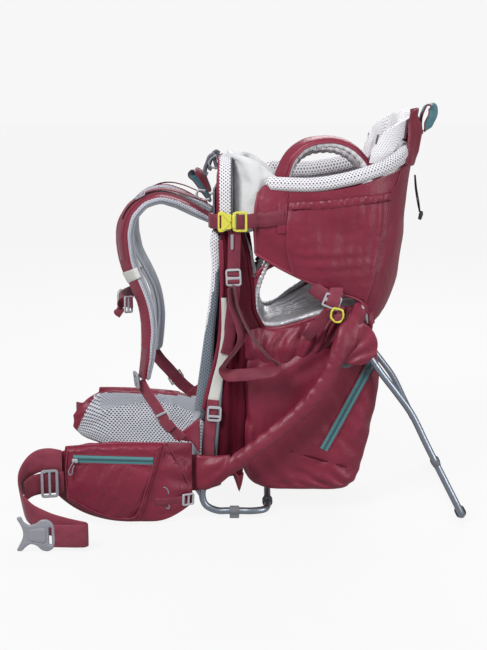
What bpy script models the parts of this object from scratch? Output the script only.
"""Frame child carrier: a back-worn seat on a bent tube frame, with a folding rear kickstand.

Metres, +Z up. The origin is on the ground, mid-width, at the centre of the footprint.
-X is the way the wearer faces, +X is behind the wearer where the child sits,
-Y is the wearer's left and +Y the wearer's right.
Shapes are laid out from the back tube's plane, and ORIGIN_X moves them to the footprint's centre.
Each piece hangs on the "body" empty it moves with. Paired pieces are drawn on the wearer's left.
"""
import math

import bpy
from mathutils import Vector

for old in list(bpy.data.objects):
    bpy.data.objects.remove(old, do_unlink=True)

# ---------------------------------------------------------------- driving dimensions
ORIGIN_X = 0.062          # from the layout plane to the footprint's centre
TUBE_R = 0.006            # 12 mm aluminium tube
FIT_R = TUBE_R + 0.0004   # bore of the clips and rings that fit round the tube
BAR_Z = 0.0115            # height of the ground bars' axis
BASE_BAR_X = 0.096        # ground bar of the seat frame
BASE_Y = 0.143            # half width of the base loop
DIAG_Y = 0.150            # half width of the diagonal side tubes
FOOT_BAR_X = 0.433        # ground bar of the kickstand
PIVOT_X, PIVOT_Z = 0.262, 0.298    # kickstand pivot
PIN_R = 0.0030            # kickstand pin
PIN_HOLE_R = 0.0034       # holes for the pin
WEB_T = 0.002             # webbing thickness
HIP_WEB_W = 0.038         # hip belt webbing width
STIRRUP_Y = 0.146         # foot stirrups, from the middle

SPAN_STEPS = 2            # curve steps between two given points
SHARP_ANGLE = math.radians(35)
SIDES = ((-1, "left"), (1, "right"))
UP = Vector((0, 0, 1))
ACROSS = Vector((0, 1, 0))

# strap cross-sections, in half widths and half thicknesses
FLAT = [(-1, -1), (1, -1), (1, 1), (-1, 1)]
ROUNDED = [(-1, 0), (-0.86, -0.75), (-0.5, -1), (0.5, -1), (0.86, -0.75),
           (1, 0), (0.86, 0.75), (0.5, 1), (-0.5, 1), (-0.86, 0.75)]


# ---------------------------------------------------------------- materials
def material(name, color, roughness, metallic=0.0):
    mat = bpy.data.materials.new(name)
    mat.use_nodes = True
    shader = mat.node_tree.nodes["Principled BSDF"]
    shader.inputs["Base Color"].default_value = (*color, 1.0)
    shader.inputs["Roughness"].default_value = roughness
    shader.inputs["Metallic"].default_value = metallic
    return mat


ALU = material("anodised_tube", color=(0.33, 0.36, 0.42), roughness=0.32, metallic=1.0)
MAROON = material("maroon_fabric", color=(0.27, 0.035, 0.07), roughness=0.75)
MESH = material("grey_mesh", color=(0.55, 0.57, 0.60), roughness=0.9)
WHITE = material("white_mesh", color=(0.80, 0.80, 0.82), roughness=0.9)
FLEECE = material("light_fleece", color=(0.78, 0.79, 0.78), roughness=0.95)
SILVER = material("silver_lining", color=(0.62, 0.63, 0.66), roughness=0.5)
WEB = material("maroon_webbing", color=(0.22, 0.03, 0.06), roughness=0.7)
PLASTIC = material("grey_plastic", color=(0.42, 0.43, 0.46), roughness=0.45)
DARK = material("black_rubber", color=(0.04, 0.045, 0.05), roughness=0.7)
YELLOW = material("yellow_plastic", color=(0.75, 0.68, 0.10), roughness=0.4)

# ---------------------------------------------------------------- bodies and mesh objects
BODIES = {}               # name: (empty, its place in the layout)


def body(name, place=(0, 0, 0), parent=None):
    empty = bpy.data.objects.new("body_" + name, None)
    bpy.context.scene.collection.objects.link(empty)
    place = Vector(place)
    if parent:
        empty.parent, parent_place = BODIES[parent]
        empty.location = place - parent_place
    else:
        empty.location = place - Vector((ORIGIN_X, 0, 0))
    BODIES[name] = (empty, place)


def add(name, verts, faces, mat, owner):
    """A closed mesh object in owner's body, with its origin on that body's axis."""
    empty, origin = BODIES[owner]
    mesh = bpy.data.meshes.new(name)
    mesh.from_pydata([Vector(v) - origin for v in verts], [], faces)
    mesh.validate()
    mesh.update()
    mesh.calc_loop_triangles()
    volume = 0.0
    for triangle in mesh.loop_triangles:
        a, b, c = (mesh.vertices[i].co for i in triangle.vertices)
        volume += a.dot(b.cross(c))
    if volume < 0:
        mesh.flip_normals()
    mesh.shade_smooth()
    mesh.set_sharp_from_angle(angle=SHARP_ANGLE)
    mesh.materials.append(mat)
    obj = bpy.data.objects.new(name, mesh)
    bpy.context.scene.collection.objects.link(obj)
    obj.parent = empty
    return obj


def mirror_right(left):
    """The right-hand copy of a left-hand piece, in the right-hand body if there is one."""
    owner = left.parent.name.removeprefix("body_")
    origin = BODIES[owner][1]
    points = [v.co + origin for v in left.data.vertices]
    faces = [tuple(reversed(p.vertices)) for p in left.data.polygons]
    add(left.name.replace("left", "right"), [(x, -y, z) for x, y, z in points], faces,
        left.data.materials[0], owner.replace("left", "right"))


def cut(obj, cutter):
    """Subtracts cutter from obj and hides cutter."""
    modifier = obj.modifiers.new("cut_" + cutter.name, "BOOLEAN")
    modifier.operation = "DIFFERENCE"
    modifier.object = cutter
    cutter.hide_render = True
    cutter.display_type = "WIRE"


# ---------------------------------------------------------------- paths
def symmetric(left, middle):
    """The left half's points, the middle point, then the left half mirrored back."""
    return [*left, middle] + [(x, -y, z) for x, y, z in reversed(left)]


def at_y(y, outline):
    """An (x, z) outline placed in the plane at y."""
    return [(x, y, z) for x, z in outline]


def smooth(points, closed=False):
    """A smooth curve through the points: Hermite spans with length-weighted tangents."""
    knots = [Vector(p) for p in points]
    count = len(knots)

    def tangent(i):
        if closed or 0 < i < count - 1:
            before = knots[i] - knots[(i - 1) % count]
            after = knots[(i + 1) % count] - knots[i]
            d1, d2 = before.length, after.length
            return (before / d1 * d2 + after / d2 * d1) / (d1 + d2)
        if i == 0:
            return (knots[1] - knots[0]).normalized()
        return (knots[-1] - knots[-2]).normalized()

    curve = []
    for i in range(count if closed else count - 1):
        start, end = knots[i], knots[(i + 1) % count]
        length = (end - start).length
        leave, arrive = tangent(i) * length, tangent((i + 1) % count) * length
        for k in range(SPAN_STEPS):
            t = k / SPAN_STEPS
            curve.append(
                start * (2 * t**3 - 3 * t * t + 1) + leave * (t**3 - 2 * t * t + t)
                + end * (3 * t * t - 2 * t**3) + arrive * (t**3 - t * t)
            )
    if not closed:
        curve.append(knots[-1])
    return curve


def spread(values):
    """Values given at a path's points, interpolated to the points of its smoothed curve."""
    out = []
    for value, following in zip(values, values[1:]):
        for k in range(SPAN_STEPS):
            t = k / SPAN_STEPS
            out.append(value * (1 - t) + following * t)
    out.append(values[-1])
    return out


def tangents(path, closed=False):
    count = len(path)
    out = []
    for i in range(count):
        before = path[(i - 1) % count] if closed or i else path[0]
        after = path[(i + 1) % count] if closed or i < count - 1 else path[-1]
        out.append((after - before).normalized())
    return out


# ---------------------------------------------------------------- solids
def skin(rings, closed=False):
    """Faces over rings of equal size, with end caps unless the path is closed."""
    size, count = len(rings[0]), len(rings)
    verts = [v for ring_points in rings for v in ring_points]
    faces = []
    for i in range(count if closed else count - 1):
        a, b = i * size, ((i + 1) % count) * size
        for j in range(size):
            k = (j + 1) % size
            faces.append((a + j, a + k, b + k, b + j))
    if not closed:
        faces.append(tuple(reversed(range(size))))
        faces.append(tuple((count - 1) * size + j for j in range(size)))
    return verts, faces


def circles(path, radius, sides, closed=False):
    """Circles square to the path, turned as little as possible from one to the next."""
    side = UP
    out = []
    for point, along in zip(path, tangents(path, closed)):
        side = (side - along * side.dot(along)).normalized()
        other = along.cross(side)
        angles = [2 * math.pi * j / sides for j in range(sides)]
        out.append([point + (side * math.cos(a) + other * math.sin(a)) * radius for a in angles])
    return out


def tube(name, path, radius, mat, owner, sides=8, closed=False):
    """A solid round bar along a path."""
    return add(name, *skin(circles(path, radius, sides, closed), closed), mat, owner)


def pipe(name, path, radius, bore, mat, owner, sides):
    """A round bar along a path with a hole of radius bore through it."""
    outer, inner = circles(path, radius, sides), circles(path, bore, sides)
    verts = [v for pair in zip(outer, inner) for circle in pair for v in circle]
    last = (len(path) - 1) * 2 * sides
    faces = []
    for j in range(sides):
        k = (j + 1) % sides
        for a in range(0, last, 2 * sides):
            b = a + 2 * sides
            faces.append((a + j, a + k, b + k, b + j))
            faces.append((a + sides + k, a + sides + j, b + sides + j, b + sides + k))
        faces.append((sides + j, sides + k, k, j))
        faces.append((last + j, last + k, last + sides + k, last + sides + j))
    return add(name, verts, faces, mat, owner)


def axle_line(centre, length):
    """The two ends of a line along Y."""
    return [Vector(centre) - ACROSS * length / 2, Vector(centre) + ACROSS * length / 2]


def rod(name, centre, radius, length, mat, owner):
    """A straight round bar along Y."""
    return tube(name, axle_line(centre, length), radius, mat, owner, sides=16)


def ring(name, centre, width, owner):
    """A rubber ring round a ground bar, reaching down to the ground."""
    pipe(name, axle_line(centre, width), BAR_Z, FIT_R, DARK, owner, sides=16)


def band(name, path, width, thick, across, mat, owner, profile=FLAT, upright=False):
    """A strap swept along a path.

    width, and the width direction across, are one value or a list with one for each point.
    The direction is squared to the path, unless upright keeps it as given.
    """
    widths = width if isinstance(width, list) else [width] * len(path)
    directions = across if isinstance(across, list) else [Vector(across)] * len(path)
    rings = []
    for point, along, wide, side in zip(path, tangents(path), widths, directions):
        if not upright:
            side = (side - along * side.dot(along)).normalized()
        normal = along.cross(side).normalized()
        rings.append([point + side * (u * wide / 2) + normal * (v * thick / 2)
                      for u, v in profile])
    return add(name, *skin(rings), mat, owner)


def webbing(name, points, width, across, owner, thick=WEB_T, upright=False):
    """A flat strap along the smoothed points."""
    return band(name, smooth(points), width, thick, across, WEB, owner, upright=upright)


def between(starts, ends, steps):
    """A grid with a row for each pair of points, in equal steps from start to end."""
    return [[Vector(a).lerp(Vector(b), k / steps) for k in range(steps + 1)]
            for a, b in zip(starts, ends)]


def sheet(name, grid, thick, mat, owner):
    """A thick sheet. The grid is one face, and the other lies thick behind it.

    thick is one value or a list with one for each column; a negative one builds ahead instead.
    """
    rows, cols = len(grid), len(grid[0])
    depths = thick if isinstance(thick, list) else [thick] * cols
    face, back = [], []
    for i in range(rows):
        for j in range(cols):
            down = grid[min(i + 1, rows - 1)][j] - grid[max(i - 1, 0)][j]
            over = grid[i][min(j + 1, cols - 1)] - grid[i][max(j - 1, 0)]
            face.append(grid[i][j])
            back.append(grid[i][j] - down.cross(over).normalized() * depths[j])
    off = rows * cols
    faces = []
    for i in range(rows - 1):
        for j in range(cols - 1):
            a, b = i * cols + j, (i + 1) * cols + j
            c, d = b + 1, a + 1
            faces.append((a, b, c, d))
            faces.append((off + a, off + d, off + c, off + b))
    border = [i * cols for i in range(rows)]
    border += [(rows - 1) * cols + j for j in range(1, cols)]
    border += [i * cols + cols - 1 for i in range(rows - 2, -1, -1)]
    border += list(range(cols - 2, 0, -1))
    for a, b in zip(border, border[1:] + border[:1]):
        faces.append((a, off + a, off + b, b))
    return add(name, face + back, faces, mat, owner)


def prism(name, outline, low, high, mat, owner, axis="Y"):
    """An outline extruded along Y, when it is (x, z), or along X, when it is (y, z)."""
    if axis == "Y":
        rings = [[Vector((x, y, z)) for x, z in outline] for y in (low, high)]
    else:
        rings = [[Vector((x, y, z)) for y, z in outline] for x in (low, high)]
    return add(name, *skin(rings), mat, owner)


# ---------------------------------------------------------------- bodies, each on its joint
def joints():
    body("frame")
    body("kickstand", (PIVOT_X, 0, PIVOT_Z))
    body("harness", (0.0025, 0, 0.54))
    body("sternum", (-0.140, 0, 0.368), parent="harness")
    body("head", (0.322, 0, 0.60))
    body("front_grip", (-0.007, 0, 0.536))
    body("rear_grip", (0.3660, 0, 0.668))
    body("cord", (0.3560, 0, 0.588))
    body("entry_male", (0.034, -0.136, 0.5175))
    for side, tag in SIDES:
        body("hip_" + tag, (-0.033, side * 0.150, 0.080))
        body("hip_zip_" + tag, (-0.228, side * 0.2095, 0.124), parent="hip_" + tag)
        body("adjuster_" + tag, (-0.1335, side * 0.122, 0.2545), parent="harness")
        body("stirrup_" + tag, (0.036, side * STIRRUP_Y, 0.415))
        body("bag_zip_" + tag, (0.270, side * 0.118, 0.262))


# ---------------------------------------------------------------- tube frame
# x, y, z along the left diagonal tube, with the next bend at each end
DIAGONAL = [
    (0.020, -0.148, 0.085), (0.053, -DIAG_Y, 0.111), (0.093, -DIAG_Y, 0.142),
    (0.139, -DIAG_Y, 0.180), (0.171, -DIAG_Y, 0.214), (0.197, -DIAG_Y, 0.250),
    (0.213, -DIAG_Y, 0.288),
]


def seat_frame_tube():
    """One closed loop: ground bar, base side, front hairpin, diagonal, seat upright, top bow."""
    half = [
        (BASE_BAR_X, -0.082, BAR_Z), (BASE_BAR_X, -0.102, BAR_Z), (BASE_BAR_X, -0.115, BAR_Z),
        (0.0900, -0.135, BAR_Z), (0.070, -BASE_Y, BAR_Z), (0.048, -BASE_Y, BAR_Z),
        (0.026, -BASE_Y, BAR_Z), (0.010, -BASE_Y, BAR_Z),
        (-0.013, -BASE_Y, 0.023), (-0.018, -BASE_Y, 0.046), (-0.005, -0.145, 0.068),
        *DIAGONAL,
        (0.226, -DIAG_Y, 0.320), (0.236, -0.142, 0.340), (0.247, -0.120, 0.358),
        (0.261, -0.096, 0.378), (0.275, -0.083, 0.402), (0.292, -0.078, 0.450),
        (0.303, -0.076, 0.500), (0.311, -0.070, 0.540), (0.317, -0.045, 0.566),
    ]
    loop = symmetric(half, (0.318, 0, 0.573)) + [(BASE_BAR_X, 0, BAR_Z)]
    tube("seat_frame_tube", smooth(loop, closed=True), TUBE_R, ALU, "frame", closed=True)


def frame_sleeves():
    """Fabric sleeves round the diagonal tubes."""
    path = smooth(DIAGONAL)[SPAN_STEPS:-SPAN_STEPS]
    mirror_right(pipe("frame_sleeve_left", path, 0.0115, bore=0.0068, mat=MAROON,
                      owner="frame", sides=10))


def back_frame_tube():
    """Inverted U behind the wearer's back."""
    half = [(0.000, -0.118, 0.080), (0.006, -0.118, 0.150), (0.014, -0.117, 0.250),
            (0.0175, -0.112, 0.400), (0.0175, -0.102, 0.530), (0.0175, -0.085, 0.572),
            (0.0175, -0.050, 0.592)]
    path = smooth(symmetric(half, (0.0175, 0, 0.596)))
    tube("back_frame_tube", path, TUBE_R, ALU, "frame")


def frame_junctions():
    """Brackets that tie the back tube's ends to the base hairpins."""
    outline = [(-0.0070, 0.052), (0.012, 0.058), (0.012, 0.0735), (-0.0070, 0.0735)]
    mirror_right(prism("frame_junction_left", outline, -0.1365, -0.108, PLASTIC, "frame"))


def base_feet():
    """U-shaped clips under the base sides, open at the top."""
    outer, top, floor = 0.0088, 0.0135, 0.0050
    outline = [
        (-BASE_Y - outer, 0), (-BASE_Y + outer, 0), (-BASE_Y + outer, top),
        (-BASE_Y + FIT_R, top), (-BASE_Y + FIT_R, floor), (-BASE_Y - FIT_R, floor),
        (-BASE_Y - FIT_R, top), (-BASE_Y - outer, top),
    ]
    mirror_right(prism("base_foot_left", outline, 0.0300, 0.0460, DARK, "frame", axis="X"))


def ground_rings():
    for side, tag in SIDES:
        ring("base_ring_" + tag, (BASE_BAR_X, side * 0.092, BAR_Z), width=0.012, owner="frame")
        ring("kickstand_ring_" + tag, (FOOT_BAR_X, side * 0.141, BAR_Z), width=0.013,
             owner="kickstand")


# ---------------------------------------------------------------- kickstand
def kickstand_tube():
    """Two legs joined by a ground bar, drilled at the pivot."""
    leg = [
        (0.2565, -0.130, 0.3065), (0.290, -0.131, 0.258), (0.318, -0.133, 0.222),
        (0.3415, -0.138, 0.190), (0.3700, -0.147, 0.134), (0.4050, -0.159, 0.066),
        (0.4230, -0.166, 0.0310), (0.4310, -0.164, 0.0150), (FOOT_BAR_X, -0.154, BAR_Z),
        (FOOT_BAR_X, -0.1495, BAR_Z), (FOOT_BAR_X, -0.133, BAR_Z), (FOOT_BAR_X, -0.110, BAR_Z),
    ]
    path = smooth(symmetric(leg, (FOOT_BAR_X, 0, BAR_Z)))
    stand = tube("kickstand_tube", path, TUBE_R, ALU, "kickstand")
    cut(stand, rod("cut_pivot", (PIVOT_X, 0, PIVOT_Z), PIN_HOLE_R, length=0.40,
                   mat=ALU, owner="kickstand"))


def kickstand_hinges():
    """A plate on each side of the frame, and the pin that holds the kickstand's leg."""
    outline = [(0.2060, 0.272), (0.2300, 0.268), (0.2650, 0.284), (0.2755, 0.292),
               (0.2755, 0.306), (0.2650, 0.313), (0.2420, 0.322), (0.2180, 0.322)]
    for side, tag in SIDES:
        housing = prism("hinge_housing_" + tag, outline, side * 0.1375, side * 0.1430,
                        PLASTIC, "frame")
        cut(housing, rod("cut_housing_" + tag, (PIVOT_X, side * 0.140, PIVOT_Z), PIN_HOLE_R,
                         length=0.03, mat=ALU, owner="frame"))
        rod("kickstand_pin_" + tag, (PIVOT_X, side * 0.1335, PIVOT_Z), PIN_R,
            length=0.0220, mat=ALU, owner="frame")


# ---------------------------------------------------------------- seat
def seat_bucket():
    """Fabric wall round the sides and rear of the seat, between two curved edges."""
    top = [(0.078, -0.119, 0.570), (0.100, -0.124, 0.566), (0.140, -0.127, 0.565),
           (0.180, -0.127, 0.566), (0.220, -0.125, 0.571), (0.260, -0.119, 0.581),
           (0.295, -0.104, 0.592), (0.325, -0.080, 0.604), (0.342, -0.046, 0.612)]
    low = [(0.072, -0.117, 0.468), (0.100, -0.121, 0.449), (0.140, -0.124, 0.426),
           (0.176, -0.124, 0.408), (0.219, -0.121, 0.393), (0.254, -0.114, 0.382),
           (0.279, -0.101, 0.352), (0.294, -0.076, 0.337), (0.302, -0.040, 0.332)]
    grid = between(smooth(symmetric(top, (0.347, 0, 0.614))),
                   smooth(symmetric(low, (0.304, 0, 0.330))), steps=5)
    sheet("seat_bucket", grid, 0.004, MAROON, "frame")


def seat_rim_pad():
    """Padded roll above the bucket's top edge."""
    half = [(0.098, -0.119, 0.5810), (0.131, -0.122, 0.5820), (0.171, -0.122, 0.5830),
            (0.216, -0.119, 0.5885), (0.260, -0.111, 0.5990), (0.297, -0.096, 0.6120),
            (0.325, -0.075, 0.6280), (0.345, -0.045, 0.6400)]
    path = smooth(symmetric(half, (0.352, 0, 0.645)))
    outward = [along.cross(UP).normalized() for along in tangents(path)]
    band("seat_rim_pad", path, width=0.024, thick=0.024, across=outward, mat=WHITE,
         owner="frame", profile=ROUNDED)


def seat_base():
    """Seat base and crotch panel in one folded board."""
    # x, z, half width
    stations = [
        (0.040, 0.494, 0.070), (0.053, 0.462, 0.066), (0.066, 0.420, 0.064),
        (0.074, 0.380, 0.072), (0.079, 0.343, 0.085), (0.090, 0.328, 0.092),
        (0.115, 0.326, 0.093), (0.150, 0.331, 0.090), (0.190, 0.342, 0.082),
        (0.230, 0.350, 0.074), (0.268, 0.356, 0.066),
    ]
    profile = smooth([(x, 0, z) for x, z, _ in stations])
    half_widths = spread([half_width for _, _, half_width in stations])
    left = [(p.x, -w, p.z) for p, w in zip(profile, half_widths)]
    right = [(p.x, w, p.z) for p, w in zip(profile, half_widths)]
    sheet("seat_base", between(left, right, steps=2), 0.005, SILVER, "frame")


def child_harness():
    """Two padded shoulder arches."""
    arch = [(0.120, 0.505), (0.122, 0.555), (0.136, 0.606), (0.165, 0.640),
            (0.203, 0.652), (0.240, 0.640), (0.268, 0.606), (0.278, 0.566)]
    for side, tag in SIDES:
        band("child_harness_" + tag, smooth(at_y(side * 0.036, arch)), width=0.034,
             thick=0.008, across=ACROSS, mat=MAROON, owner="frame")


def chin_pad():
    """Collar round the front of the child, from its curved top edge to a level bottom."""
    bottom = 0.506
    half = [(0.088, -0.1100, 0.602), (0.070, -0.1100, 0.614), (0.054, -0.1060, 0.624),
            (0.043, -0.090, 0.631), (0.0405, -0.050, 0.634)]
    top = smooth(symmetric(half, (0.0400, 0, 0.635)))
    grid = between(top, [(p.x, p.y, bottom) for p in top], steps=3)
    sheet("chin_pad", grid, -0.006, FLEECE, "frame")


# ---------------------------------------------------------------- back panel and pads
def back_panels():
    """The pad facing the child and the panel facing the wearer."""
    front_pad = [(-0.104, 0.506), (0.104, 0.506), (0.104, 0.585), (0.090, 0.610),
                 (0.060, 0.620), (-0.060, 0.620), (-0.090, 0.610), (-0.104, 0.585)]
    back_panel = [(-0.100, 0.120), (0.100, 0.120), (0.108, 0.300), (0.104, 0.560),
                  (0.085, 0.600), (-0.085, 0.600), (-0.104, 0.560), (-0.108, 0.300)]
    prism("front_pad", front_pad, 0.0245, 0.0330, WHITE, "frame", axis="X")
    prism("back_panel", back_panel, 0.0065, 0.0100, MAROON, "frame", axis="X")


def back_pad():
    """Pad on the wearer's back, thickest in the middle of its width."""
    profile = [(-0.0010, 0.486), (-0.0010, 0.400), (-0.0020, 0.320), (-0.0080, 0.250),
               (-0.0150, 0.190)]
    columns = (-0.112, -0.060, 0.0, 0.060, 0.112)
    edge_thick, bulge = 0.010, 0.014
    thick = [edge_thick + bulge * math.sin(math.pi * j / (len(columns) - 1))
             for j in range(len(columns))]
    grid = [[Vector((p.x, y, p.z)) for y in columns] for p in smooth(at_y(0, profile))]
    sheet("back_pad", grid, thick, MESH, "frame")


def lumbar_pad():
    half = [(-0.0230, -0.124, 0), (-0.0300, -0.100, 0), (-0.0340, -0.060, 0)]
    heights = (0.040, 0.075, 0.115, 0.165)
    plan = smooth(symmetric(half, (-0.036, 0, 0)))
    grid = [[Vector((p.x, p.y, z)) for z in heights] for p in plan]
    sheet("lumbar_pad", grid, -0.012, MESH, "frame")


# ---------------------------------------------------------------- storage bag under the seat
def storage_bag():
    """Stacked rounded rectangles."""
    # height, front x, rear x, half width, corner radius
    levels = [
        (0.040, 0.090, 0.230, 0.085, 0.030), (0.052, 0.066, 0.252, 0.102, 0.028),
        (0.075, 0.054, 0.265, 0.110, 0.026), (0.110, 0.048, 0.275, 0.1145, 0.025),
        (0.150, 0.046, 0.282, 0.115, 0.025), (0.200, 0.047, 0.287, 0.115, 0.025),
        (0.245, 0.052, 0.289, 0.1135, 0.024), (0.285, 0.062, 0.284, 0.106, 0.026),
        (0.312, 0.100, 0.262, 0.088, 0.030),
    ]
    corner_steps = 4
    rings = []
    for z, front, rear, half_width, radius in levels:
        x0, x1, y1 = front + radius, rear - radius, half_width - radius
        points = []
        for x, y, first in ((x1, y1, 0), (x0, y1, 90), (x0, -y1, 180), (x1, -y1, 270)):
            for k in range(corner_steps + 1):
                a = math.radians(first + 90 / corner_steps * k)
                points.append(Vector((x + radius * math.cos(a), y + radius * math.sin(a), z)))
        rings.append(points)
    add("storage_bag", *skin(rings), MAROON, "frame")


def bag_zip_sliders():
    outline = [(0.2650, 0.2570), (0.2720, 0.2540), (0.2760, 0.2660), (0.2690, 0.2690)]
    mirror_right(prism("bag_zip_slider_left", outline, -0.1195, -0.1165, PLASTIC,
                       "bag_zip_left"))


# ---------------------------------------------------------------- shoulder harness
def shoulder_yoke():
    outline = [(-0.080, 0.470), (0.080, 0.470), (0.100, 0.500), (0.096, 0.570),
               (-0.096, 0.570), (-0.100, 0.500)]
    prism("shoulder_yoke", outline, 0.0008, 0.0050, PLASTIC, "harness", axis="X")


def shoulder_straps():
    """Padded straps from the yoke, over the shoulders and down the wearer's front."""
    # x, y, z of the centre line, roll about it in degrees, width
    stations = [
        (-0.0050, -0.070, 0.517, 4, 0.050), (-0.037, -0.075, 0.535, 5, 0.056),
        (-0.064, -0.082, 0.549, 7, 0.060), (-0.090, -0.090, 0.555, 9, 0.062),
        (-0.114, -0.096, 0.549, 13, 0.062), (-0.135, -0.100, 0.532, 20, 0.062),
        (-0.148, -0.102, 0.503, 27, 0.062), (-0.148, -0.103, 0.472, 30, 0.060),
        (-0.142, -0.104, 0.440, 30, 0.058), (-0.128, -0.107, 0.408, 28, 0.056),
        (-0.114, -0.112, 0.372, 27, 0.054), (-0.109, -0.116, 0.335, 27, 0.052),
        (-0.111, -0.119, 0.295, 25, 0.048), (-0.117, -0.122, 0.245, 22, 0.036),
    ]
    path = smooth([station[:3] for station in stations])
    rolls = spread([math.radians(station[3]) for station in stations])
    widths = spread([station[4] for station in stations])
    across = [along.cross(ACROSS).normalized() * math.sin(roll) - ACROSS * math.cos(roll)
              for along, roll in zip(tangents(path), rolls)]
    mirror_right(band("shoulder_strap_left", path, widths, 0.015, across, MAROON, "harness",
                      profile=ROUNDED))


def load_lifters():
    """Thin straps above the tops of the shoulder straps."""
    points = [(-0.012, -0.062, 0.5520), (-0.035, -0.068, 0.5600), (-0.062, -0.078, 0.5690),
              (-0.090, -0.085, 0.5740), (-0.116, -0.090, 0.5690), (-0.138, -0.094, 0.5520)]
    mirror_right(webbing("load_lifter_left", points, width=0.020, across=(0, -1, -0.10),
                         owner="harness"))


def strap_adjusters():
    """Two-slot buckles at the straps' lower ends; each tips on its own upper bar."""
    origin = BODIES["adjuster_left"][1]
    along = Vector((0.10, 0, -1)).normalized()
    across = Vector((0.30, -1, 0.03)).normalized()
    normal = along.cross(across).normalized()
    thick = 0.0035
    us = [0.000, 0.004, 0.011, 0.015, 0.021, 0.026]     # cell edges down the buckle
    vs = [-0.016, -0.0125, 0.0125, 0.016]               # cell edges across it
    slots = {(1, 1), (3, 1)}                            # cells left open
    cells = {(i, j) for i in range(len(us) - 1) for j in range(len(vs) - 1)} - slots
    verts = [origin + along * u + across * v + normal * k * thick
             for k in (-0.5, 0.5) for u in us for v in vs]
    cols, off = len(vs), len(us) * len(vs)
    faces = []
    for i, j in sorted(cells):
        corner = i * cols + j
        quad = [corner, corner + cols, corner + cols + 1, corner + 1]
        faces.append(tuple(reversed(quad)))
        faces.append(tuple(v + off for v in quad))
        neighbours = ((i, j - 1), (i + 1, j), (i, j + 1), (i - 1, j))
        for a, b, neighbour in zip(quad, quad[1:] + quad[:1], neighbours):
            if neighbour not in cells:
                faces.append((a, b, b + off, a + off))
    mirror_right(add("strap_adjuster_left", verts, faces, PLASTIC, "adjuster_left"))


def shoulder_webbing():
    """Short straps between the adjusters and the hip wings."""
    points = [(-0.1000, -0.140, 0.206), (-0.083, -0.147, 0.182), (-0.060, -0.153, 0.160),
              (-0.047, -0.156, 0.153)]
    mirror_right(webbing("shoulder_webbing_left", points, width=0.025,
                         across=(0.5, -0.6, 0.25), owner="frame"))


def side_straps():
    """Straps beside the back tube."""
    y = -0.1290
    outline = [(0.041, 0.484), (0.038, 0.430), (0.030, 0.360), (0.017, 0.290),
               (0.006, 0.220), (0.002, 0.170), (0.000, 0.120)]
    mirror_right(webbing("side_strap_left", at_y(y, outline), width=0.024,
                         across=(1, 0, 0.25), owner="frame"))


def sternum_strap():
    """One bowed band between the shoulder straps."""
    half = [(-0.1415, -0.080, 0.370), (-0.157, -0.060, 0.369), (-0.168, -0.030, 0.368)]
    webbing("sternum_strap", symmetric(half, (-0.171, 0, 0.368)), width=0.020, across=UP,
            owner="sternum", thick=0.0025)


# ---------------------------------------------------------------- hip belt
def hip_wings():
    # x, y, bottom z, top z
    stations = [
        (-0.034, -0.148, 0.040, 0.135), (-0.052, -0.160, 0.026, 0.140),
        (-0.085, -0.1735, 0.012, 0.147), (-0.125, -0.1800, 0.006, 0.148),
        (-0.175, -0.1880, 0.012, 0.148), (-0.230, -0.1970, 0.036, 0.148),
        (-0.262, -0.2010, 0.062, 0.140), (-0.278, -0.2010, 0.082, 0.116),
    ]
    grid = between([(x, y, low) for x, y, low, _ in stations],
                   [(x, y, high) for x, y, _, high in stations], steps=3)
    mirror_right(sheet("hip_wing_left", grid, -0.012, MAROON, "hip_left"))


def hip_pockets():
    """Pockets just clear of the wings' outer faces."""
    gap, slope = 0.0012, 0.16       # clearance in y, and the shift in x for each unit of it
    # x, y, bottom z, top z
    stations = [
        (-0.092, -0.1752, 0.050, 0.143), (-0.120, -0.1800, 0.012, 0.144),
        (-0.150, -0.1848, 0.010, 0.144), (-0.195, -0.1920, 0.020, 0.145),
        (-0.246, -0.2002, 0.052, 0.145),
    ]
    grid = between([(x - slope * gap, y - gap, low) for x, y, low, _ in stations],
                   [(x - slope * gap, y - gap, high) for x, y, _, high in stations], steps=2)
    mirror_right(sheet("hip_pocket_left", grid, 0.008, MAROON, "hip_left"))


def hip_zip_sliders():
    outline = [(-0.2325, 0.1195), (-0.2230, 0.1195), (-0.2230, 0.1275), (-0.2325, 0.1275)]
    mirror_right(prism("hip_zip_slider_left", outline, -0.2110, -0.2080, PLASTIC,
                       "hip_zip_left"))


def hip_webbing():
    """The belt's two loose ends, which hang differently."""
    left = [(-0.2840, -0.2040, 0.120), (-0.3030, -0.2130, 0.112), (-0.3150, -0.2350, 0.086),
            (-0.3080, -0.2580, 0.052), (-0.2750, -0.2760, 0.035), (-0.2350, -0.2830, 0.028),
            (-0.2060, -0.2860, 0.0265), (-0.1950, -0.2950, 0.0265), (-0.2060, -0.3030, 0.0265),
            (-0.2350, -0.3030, 0.0265)]
    # width direction at each point of the left end
    across = [UP, UP, Vector((-0.2, -0.3, 1)), Vector((-0.1, -0.3, 1)), Vector((0, -0.1, 1)),
              UP, UP, UP, UP, UP]
    webbing("hip_webbing_left", left, HIP_WEB_W, spread(across), "hip_left")
    right = [(-0.2860, 0.2010, 0.112), (-0.2960, 0.2120, 0.107), (-0.2980, 0.2330, 0.096),
             (-0.2870, 0.2590, 0.078), (-0.2600, 0.2790, 0.058), (-0.2300, 0.2895, 0.044)]
    webbing("hip_webbing_right", right, HIP_WEB_W, UP, "hip_right", upright=True)


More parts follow.
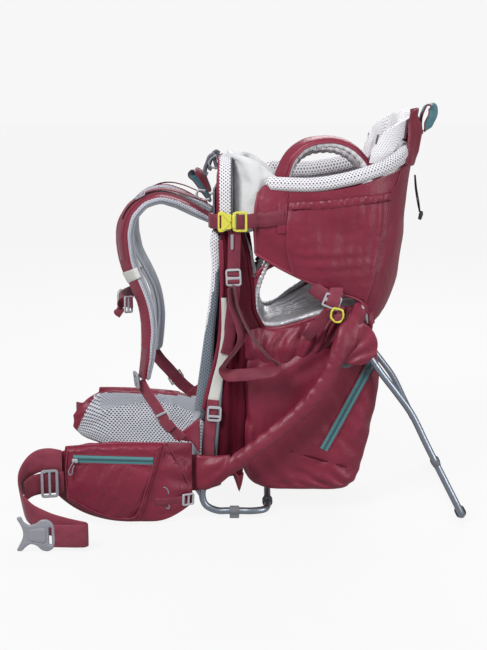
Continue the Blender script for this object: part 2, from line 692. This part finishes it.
def hip_buckle():
    """Pronged half on the left end, hollow half on the right end."""
    male = [(-0.2420, 0.006), (-0.2420, 0.047), (-0.2600, 0.0520), (-0.2740, 0.047),
            (-0.2880, 0.040), (-0.3060, 0.056), (-0.3120, 0.056), (-0.3040, 0.0265),
            (-0.3120, 0.0005), (-0.3060, 0.0005), (-0.2880, 0.013), (-0.2740, 0.006),
            (-0.2600, 0.0010)]
    female = [(-0.2230, 0.012), (-0.2230, 0.064), (-0.1680, 0.058), (-0.1680, 0.006)]
    mouth = [(-0.2080, 0.0165), (-0.2080, 0.0575), (-0.1600, 0.0520), (-0.1600, 0.0110)]
    prism("hip_buckle_male", male, -0.3050, -0.2990, PLASTIC, "hip_left")
    shell = prism("hip_buckle_female", female, 0.2930, 0.3050, PLASTIC, "hip_right")
    cut(shell, prism("cut_female", mouth, 0.2955, 0.3025, PLASTIC, "hip_right"))


# ---------------------------------------------------------------- headrest and handles
def headrest():
    """Curved pad leaning to the rear, its top edge dropping at the front ends."""
    bottom, top_middle = 0.602, 0.7040
    lean, lean_z = 0.2041, 0.640            # x for each unit of z, and where the plan holds
    crown_drop = 0.012                      # fall of the top edge from middle to ends
    ear_drop, ear_start = 0.050, 0.72       # further fall, from this share of the half length
    half = [(0.262, -0.0790, 0), (0.285, -0.0790, 0), (0.304, -0.070, 0), (0.318, -0.050, 0),
            (0.325, -0.022, 0)]
    plan = smooth(symmetric(half, (0.3265, 0, 0)))
    lows, highs = [], []
    for i, p in enumerate(plan):
        share = abs(i / (len(plan) - 1) * 2 - 1)        # 0 at the middle, 1 at the front ends
        ear = max(0.0, (share - ear_start) / (1 - ear_start))
        top = top_middle - crown_drop * share**2 - ear_drop * ear**1.5
        lows.append((p.x + lean * (bottom - lean_z), p.y, bottom))
        highs.append((p.x + lean * (top - lean_z), p.y, top))
    sheet("headrest", between(lows, highs, steps=3), 0.018, WHITE, "head")


def headrest_cord():
    outline = [(0.3560, 0.588), (0.3590, 0.560), (0.3640, 0.535), (0.3680, 0.512)]
    tube("headrest_cord", smooth(at_y(0, outline)), 0.0018, DARK, "cord")


def handles():
    """Webbing grab loops behind the headrest and at the top of the back."""
    rear = [(0.3650, 0.668), (0.3660, 0.688), (0.3720, 0.706), (0.3800, 0.714),
            (0.3880, 0.711), (0.3910, 0.700), (0.3850, 0.684), (0.3760, 0.672),
            (0.3690, 0.665)]
    front = [(-0.0070, 0.540), (-0.020, 0.560), (-0.0340, 0.583), (-0.0400, 0.590),
             (-0.0350, 0.595), (-0.0270, 0.592), (-0.0150, 0.572), (-0.0070, 0.558)]
    webbing("rear_handle", at_y(0, rear), width=0.024, across=ACROSS, owner="rear_grip")
    webbing("front_handle", at_y(0, front), width=0.022, across=ACROSS, owner="front_grip")


# ---------------------------------------------------------------- side entry and stirrups
def entry_buckle():
    """Buckle on the left side: a hollow half and a two-pronged half inside it."""
    female = [(0.0140, 0.5020), (0.0140, 0.5330), (0.0330, 0.5330), (0.0330, 0.5020)]
    mouth = [(0.0180, 0.5055), (0.0180, 0.5295), (0.0400, 0.5295), (0.0400, 0.5055)]
    male = [(0.0200, 0.5065), (0.0350, 0.5065), (0.0350, 0.5020), (0.0580, 0.5020),
            (0.0580, 0.5330), (0.0350, 0.5330), (0.0350, 0.5285), (0.0200, 0.5285),
            (0.0200, 0.5235), (0.0320, 0.5215), (0.0320, 0.5135), (0.0200, 0.5115)]
    shell = prism("entry_buckle_female", female, -0.1405, -0.1315, YELLOW, "frame")
    cut(shell, prism("cut_entry", mouth, -0.1390, -0.1330, YELLOW, "frame"))
    prism("entry_buckle_male", male, -0.1380, -0.1340, YELLOW, "entry_male")


def foot_stirrups():
    """Hanging webbing loops, almost closed at the top."""
    outline = [(0.036, 0.412), (0.050, 0.372), (0.082, 0.320), (0.116, 0.275),
               (0.100, 0.264), (0.060, 0.258), (0.024, 0.256), (0.018, 0.268),
               (0.024, 0.320), (0.028, 0.370), (0.030, 0.408)]
    for side, tag in SIDES:
        webbing("foot_stirrup_" + tag, at_y(side * STIRRUP_Y, outline), width=0.022,
                across=ACROSS, owner="stirrup_" + tag)


# ---------------------------------------------------------------- build, bodies first
for build in (
    joints,
    seat_frame_tube, frame_sleeves, back_frame_tube, frame_junctions, base_feet, ground_rings,
    kickstand_tube, kickstand_hinges,
    seat_bucket, seat_rim_pad, seat_base, child_harness, chin_pad,
    back_panels, back_pad, lumbar_pad, storage_bag, bag_zip_sliders,
    shoulder_yoke, shoulder_straps, load_lifters, strap_adjusters, shoulder_webbing,
    side_straps, sternum_strap,
    hip_wings, hip_pockets, hip_zip_sliders, hip_webbing, hip_buckle,
    headrest, headrest_cord, handles, entry_buckle, foot_stirrups,
):
    build()
